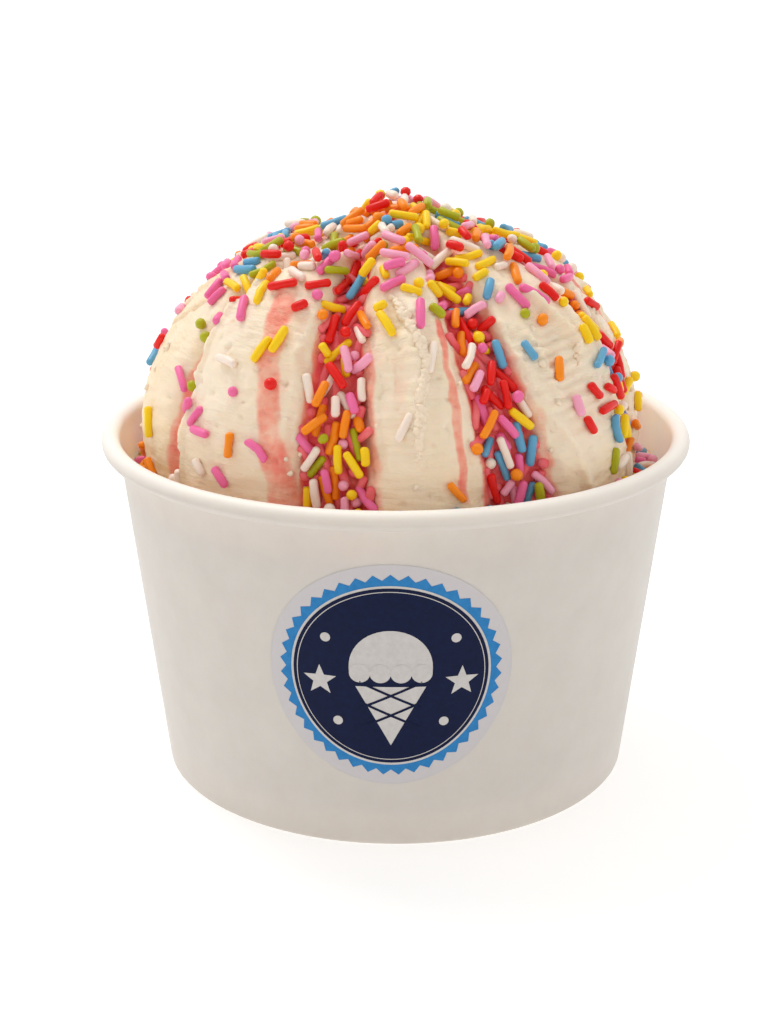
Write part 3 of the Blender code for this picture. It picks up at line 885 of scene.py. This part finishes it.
def sprinkle_density(down, azimuth):
    """Share of sprinkles kept at a place: crown and valleys full, petals nearly bare."""
    crown = 1.0 - smooth_step((down - 27.0) / 17.0)
    petals = BARE_DENSITY + SHOULDER_DENSITY * (1.0 - smooth_step((down - 34.0) / 22.0))
    ledge = LEDGE_DENSITY * (down > FOOT_POLAR)
    return np.maximum.reduce([crown, valley_share(down, azimuth) * (down > 12.0), petals, ledge])


def valley_density(down, azimuth):
    """Where sprinkles lie drowned in the sauce: the valleys alone."""
    return valley_share(down, azimuth) * (down > 34.0) * (down < FOOT_POLAR + 3.0)


def filling_density(down, azimuth):
    """The rule for the later sprinkles, with a thicker drift on the right-hand side."""
    side = 0.5 * np.exp(-((azimuth - 64.0) / 9.0) ** 2) * smooth_step((down - 52.0) / 16.0)
    bare = 0.014 + 0.34 * (1.0 - smooth_step((down - 37.0) / 16.0))
    crown = 1.0 - smooth_step((down - 31.0) / 15.0)
    ledge = 0.8 * (down > FOOT_POLAR)
    return np.maximum.reduce([crown, valley_share(down, azimuth) * (down > 12.0), side, bare, ledge])


def unit(vectors):
    return vectors / np.linalg.norm(vectors, axis=-1, keepdims=True)


def sprinkle_candidates(random, density, count_thrown, ball_share=BALL_SHARE, lengths=ROD_LENGTHS):
    """Places, directions and sizes of sprinkles, the longest first."""
    fall = np.degrees(np.arccos(random.uniform(math.cos(math.radians(FOOT_POLAR)), 0.9995, count_thrown)))
    on_ledge = random.random(count_thrown) < LEDGE_SHARE
    down = np.where(on_ledge, FOOT_POLAR + LEDGE_SPAN * random.uniform(0.1, 0.8, count_thrown), fall)
    azimuth = random.uniform(-180.0, 180.0, count_thrown)
    kept = random.random(count_thrown) < density(down, azimuth)
    down, azimuth = down[kept], azimuth[kept]
    count = len(down)
    ball = random.random(count) < ball_share
    length = np.where(ball, 0.0, random.triangular(*lengths, count))
    radius = np.where(ball, random.uniform(*BALL_RADII, count), random.uniform(*ROD_RADII, count))
    free = random.uniform(-math.pi / 2, math.pi / 2, count)
    slid = valley_share(down, azimuth) * (down > CURL_POLAR)
    heading = free * (1.0 - slid * (1.0 - DOWNHILL_SPREAD))

    step_down = cream_point(down + 0.5, azimuth) - cream_point(down - 0.5, azimuth)
    step_round = cream_point(down, azimuth + 0.5) - cream_point(down, azimuth - 0.5)
    half = np.maximum(length / 2 - radius, 0.05)
    move_down = np.cos(heading) * half / np.linalg.norm(step_down, axis=-1)
    move_round = np.clip(np.sin(heading) * half / np.linalg.norm(step_round, axis=-1), -50.0, 50.0)
    first = cream_point(np.maximum(down + move_down, 0.5), azimuth + move_round)
    last = cream_point(np.maximum(down - move_down, 0.5), azimuth - move_round)
    normal = unit(np.cross(step_down, step_round))
    middle = (first + last + cream_point(down, azimuth)) / 3
    centre = middle + normal * (radius * (1.0 - SUNK_SHARE))[:, None]
    order = np.argsort(-(length + 4.0 * ball * random.random(count)), kind="stable")
    deep = valley_share(down, azimuth) + (down < 36.0)
    return [value[order] for value in (centre, unit(first - last), half, radius, ball, normal, deep)]


def raised(candidates):
    """Candidates moved out by the detail of the finished mound under them."""
    centre, _, _, _, _, normal, _ = candidates
    for index, place in enumerate(centre):
        candidates[0][index] = place + normal[index] * max(0.0, surface_lift(place))
    return candidates


def inside_cup(points, radius):
    """True where a sprinkle stays clear of the cup's wall."""
    reach = np.hypot(points[:, 0], points[:, 1]) + radius
    low = points[:, 2] < CUP_HEIGHT + 2.0
    return bool(np.all(~low | (reach < inner_radius(points[:, 2]) - 2 * FIT_GAP)))


Laid = namedtuple("Laid", "centre axis half radius ball")


def on_detail(laid):
    """A sprinkle of the solid model, moved out by the detail under it."""
    out = unit(laid.centre - [0, 0, MOUND_CENTRE])
    return laid._replace(centre=laid.centre + out * max(0.0, surface_lift(laid.centre)))


SPANS = np.linspace(-1.0, 1.0, 5)


def scattered(candidates, count, spacing, laid=(), lifts=(0.0,)):
    """Lays sprinkles in order, each clear of those before it, lifted where it must be."""
    centre, axis, half, radius, ball, normal, deep = candidates
    laid = list(laid)
    beads = np.array([p.centre + p.axis * s * p.half for p in laid for s in SPANS]).reshape(-1, 3)
    sizes = np.array([p.radius for p in laid for _ in SPANS])
    wanted = len(laid) + count
    for index in range(len(centre)):
        for lift in lifts if deep[index] > 0.6 else lifts[:1]:
            place = centre[index] + normal[index] * lift
            row = place + axis[index] * (SPANS * half[index])[:, None]
            if not inside_cup(row, radius[index]):
                continue
            if len(beads):
                near = np.abs(beads - place).max(axis=1) < 9.0
                if near.any():
                    gaps = np.linalg.norm(beads[near][:, None] - row[None], axis=-1) - sizes[near][:, None]
                    if gaps.min() < radius[index] + spacing:
                        continue
            laid.append(Laid(place, axis[index], half[index], radius[index], bool(ball[index])))
            beads = np.concatenate([beads, row])
            sizes = np.concatenate([sizes, np.full(len(row), radius[index])])
            break
        if len(laid) == wanted:
            break
    return laid


sprinkles = scattered(
    sprinkle_candidates(np.random.default_rng(SEED), sprinkle_density, CANDIDATES),
    FUSED_SPRINKLES, FUSED_SPACING,
)
sprinkles = [on_detail(laid) for laid in sprinkles]
later = sprinkle_candidates(
    np.random.default_rng(SEED + 1), filling_density, LATER_CANDIDATES, LATER_BALL_SHARE, LATER_LENGTHS,
)
sprinkles = scattered(raised(later), LATER_SPRINKLES, LATER_SPACING, sprinkles, LATER_LIFTS)
drowned = sprinkle_candidates(np.random.default_rng(SEED + 2), valley_density, CANDIDATES)
drowned[0] -= drowned[5] * (DROWNED_SHARE * drowned[3])[:, None]
drowned = scattered(drowned, DROWNED_SPRINKLES, DROWNED_SPACING)
print("sprinkles laid", len(sprinkles), "balls", sum(p.ball for p in sprinkles), "drowned", len(drowned))

# %% [markdown]
# ## Making the sprinkles
# A rod is a ball with its two halves drawn apart, a little thinner in the middle on some and
# bent on others; a ball stays a ball. The points of one low ball are copied for each
# sprinkle and the copies of one colour are joined into one mesh. Sprinkles of one colour
# tend to lie together, so each takes its neighbour's colour now and then.

# %% Sprinkle meshes
SPRINKLE_SIDES, SPRINKLE_ROWS = 9, 8
COLOURS = (
    ("rose", "F578B0", "EE68A4", 0.15),
    ("blush", "FCB6D2", "F7A4C6", 0.13),
    ("sugar", "FCEFE4", "F5E3D6", 0.12),
    ("red", "F01A12", "E2120C", 0.11),
    ("orange", "FF9A12", "FE8806", 0.15),
    ("yellow", "FFDC14", "FFCE08", 0.17),
    ("leaf", "BCBE14", "A6AA08", 0.08),
    ("blue", "6EB4DC", "5AA4CE", 0.08),
    ("violet", "7C80CC", "6A6EBE", 0.01),
)


def sprinkle_template():
    """Points and faces of one low ball of radius 1 with its axis along Z."""
    mesh = bmesh.new()
    bmesh.ops.create_uvsphere(mesh, u_segments=SPRINKLE_SIDES, v_segments=SPRINKLE_ROWS, radius=1.0)
    mesh.verts.index_update()
    points = np.array([vert.co for vert in mesh.verts])
    faces = [[vert.index for vert in face.verts] for face in mesh.faces]
    mesh.free()
    return points, faces


ball_points, ball_faces = sprinkle_template()


def sprinkle_points(laid, random):
    """The template drawn out and turned to one sprinkle's place."""
    points = ball_points.copy()
    if not laid.ball:
        ring = np.maximum(np.hypot(points[:, 0], points[:, 1]), 1e-9)
        blunt = ring ** 0.72 / ring
        points[:, :2] *= blunt[:, None]
        pinch = random.choice([0.0, 0.0, 0.06, 0.14, -0.05])
        middle = np.abs(points[:, 2]) < 0.05
        points[middle, :2] *= 1.0 - pinch
        points[:, 2] += np.sign(np.round(points[:, 2], 3)) * laid.half / laid.radius
        bend = random.normal(0.0, 0.05)
        points[:, 0] += bend * points[:, 2] ** 2 / 2
    else:
        points *= random.uniform(0.93, 1.07, 3)
    axis = laid.axis
    aside = unit(np.cross(axis, random.normal(0, 1, 3)))
    turn_to = np.stack([aside, np.cross(axis, aside), axis], axis=1)
    return (points * laid.radius) @ turn_to.T + laid.centre


def pick_colours(laid, random):
    """A colour number for each sprinkle, sometimes its neighbour's."""
    shares = np.array([row[3] for row in COLOURS])
    picked = list(random.choice(len(COLOURS), len(laid), p=shares / shares.sum()))
    centres = np.array([p.centre for p in laid])
    for index in range(1, len(laid)):
        gaps = np.linalg.norm(centres[:index] - centres[index], axis=1)
        if gaps.min() < 4.5 and random.random() < 0.3:
            picked[index] = picked[int(gaps.argmin())]
    return np.array(picked)


# %% [markdown]
# ## Sugar shell
# Sprinkles are sugar and starch rods dried and polished with a thin wax: an even, strong
# colour, a soft broad highlight and no sparkle. A faint mottling and a very small amount of
# light under the surface keep them from looking like plastic.

# %% Sugar shell finish and the joined meshes
def sugar_shell(name, light, dark):
    finish, tree, shader, place = new_finish(name)
    mottle = add(tree, "ShaderNodeTexNoise", Vector=place, Scale=330.0, Detail=2.0)
    mix = add(tree, "ShaderNodeMix", {"data_type": "RGBA"}, Factor=mottle.outputs["Fac"],
              i6=linear(dark), i7=linear(light))
    grain = add(tree, "ShaderNodeTexNoise", Vector=place, Scale=2600.0, Detail=1.0)
    bump = add(tree, "ShaderNodeBump", Strength=0.12, Distance=0.06 * MM, Height=grain.outputs["Fac"])
    tree.links.new(mix.outputs[2], shader.inputs["Base Color"])
    tree.links.new(bump.outputs["Normal"], shader.inputs["Normal"])
    dial(shader, Roughness=0.36, Subsurface_Weight=0.2, Subsurface_Radius=(1.0, 0.8, 0.6),
         Subsurface_Scale=0.5 * MM, Specular_IOR_Level=0.32, Coat_Weight=0.06, Coat_Roughness=0.2)
    return finish


shape_random = np.random.default_rng(0)
colour_of = pick_colours(sprinkles, shape_random)
shapes = [sprinkle_points(laid, shape_random) for laid in sprinkles]


def joined_sprinkles(name, mine, finish):
    """One mesh from the points of many sprinkles."""
    size = len(ball_points)
    faces = [[corner + size * k for corner in face] for k in range(len(mine)) for face in ball_faces]
    data = bpy.data.meshes.new(name)
    data.from_pydata((np.concatenate(mine) * MM).tolist(), [], faces)
    return piece_of(data, name, finish)


for number, (name, light, dark, _) in enumerate(COLOURS):
    mine = [shapes[i] for i in np.flatnonzero(colour_of == number)]
    if mine:
        joined_sprinkles("sprinkles_" + name, mine, sugar_shell("sugar_" + name, light, dark))
drowned_shapes = [sprinkle_points(laid, shape_random) for laid in drowned]
joined_sprinkles("sprinkles_drowned", drowned_shapes, sugar_shell("sauce_coat", "FA8E90", "E63C58"))

# %% [markdown]
# ## Table, light and camera
# The cup stands on a plain white table in soft, bright light: a white surround, and one soft
# lamp above, behind and to the left. The surround turns a warm grey behind the camera, as a
# grey card there would, which keeps the front a little darker than the sides and gives the cup
# its roundness.

# %% Table
def stage_plane(name, size, colour, glow):
    mesh = bmesh.new()
    bmesh.ops.create_grid(mesh, x_segments=1, y_segments=1, size=size)
    data = bpy.data.meshes.new(name)
    mesh.to_mesh(data)
    mesh.free()
    finish, tree, shader, place = new_finish(name + "_paint")
    tone = add(tree, "ShaderNodeTexNoise", Vector=place, Scale=6.0)
    mix = add(tree, "ShaderNodeMix", {"data_type": "RGBA"}, Factor=tone.outputs["Fac"],
              i6=linear(colour), i7=linear(colour))
    tree.links.new(mix.outputs[2], shader.inputs["Base Color"])
    dial(shader, Roughness=0.9, Emission_Color=(1.0, 1.0, 1.0, 1.0), Emission_Strength=glow)
    data.materials.append(finish)
    made = bpy.data.objects.new(name, data)
    bpy.context.scene.collection.objects.link(made)
    return made


TABLE_SIZE, TABLE_GLOW, TABLE_DROP = 3.0, 0.53, 0.2
table = stage_plane("table", TABLE_SIZE, "D2D2D2", TABLE_GLOW)
table.location.z = -TABLE_DROP * MM

# %% Light
def surround(front, far):
    """White surround that darkens to a warm grey behind the camera."""
    made = bpy.data.worlds.new("white_surround")
    made.use_nodes = True
    tree = made.node_tree
    way = tree.nodes.new("ShaderNodeTexCoord").outputs["Generated"]
    parts = add(tree, "ShaderNodeSeparateXYZ", Vector=way)
    share = add(tree, "ShaderNodeMapRange", {"interpolation_type": "SMOOTHSTEP"},
                Value=parts.outputs["Y"], From_Min=-0.95, From_Max=0.15)
    mix = add(tree, "ShaderNodeMix", {"data_type": "RGBA"}, Factor=share.outputs[0], i6=front, i7=far)
    tree.links.new(mix.outputs[2], tree.nodes["Background"].inputs["Color"])
    tree.nodes["Background"].inputs["Strength"].default_value = 1.0
    return made


WARM_GREY, OFF_WHITE = (0.62, 0.55, 0.48, 1.0), (0.92, 0.91, 0.895, 1.0)
bpy.context.scene.world = surround(WARM_GREY, OFF_WHITE)


def soft_lamp(name, place, target, size, power, colour):
    lamp = bpy.data.lights.new(name, "AREA")
    lamp.shape = "SQUARE"
    lamp.size = size
    lamp.energy = power
    lamp.color = colour
    made = bpy.data.objects.new(name, lamp)
    made.location = place
    made.rotation_euler = (Vector(target) - Vector(place)).to_track_quat("-Z", "Y").to_euler()
    bpy.context.scene.collection.objects.link(made)
    return made


LAMP_PLACE, LAMP_TARGET = (-0.2, 0.18, 0.62), (0.0, 0.0, 0.07)
LAMP_SIZE, LAMP_POWER, LAMP_COLOUR = 0.26, 1.5, (1.0, 0.985, 0.96)
soft_lamp("lamp_above", LAMP_PLACE, LAMP_TARGET, LAMP_SIZE, LAMP_POWER, LAMP_COLOUR)

# %% Camera
LENS, SENSOR = 67.67, 36.0
CAMERA_PLACE, CAMERA_TARGET = (-1.1, -365.1, 173.6), (-1.1, 0.0, 49.5)
camera_data = bpy.data.cameras.new("camera")
camera_data.lens = LENS
camera_data.sensor_width = SENSOR
camera = bpy.data.objects.new("camera", camera_data)
camera.location = Vector(CAMERA_PLACE) * MM
look = Vector(CAMERA_TARGET) * MM
camera.rotation_euler = (look - camera.location).to_track_quat("-Z", "Y").to_euler()
camera_data.clip_start, camera_data.clip_end = 0.01, 20.0
bpy.context.scene.collection.objects.link(camera)
bpy.context.scene.camera = camera
bpy.context.scene.view_settings.view_transform = "Standard"
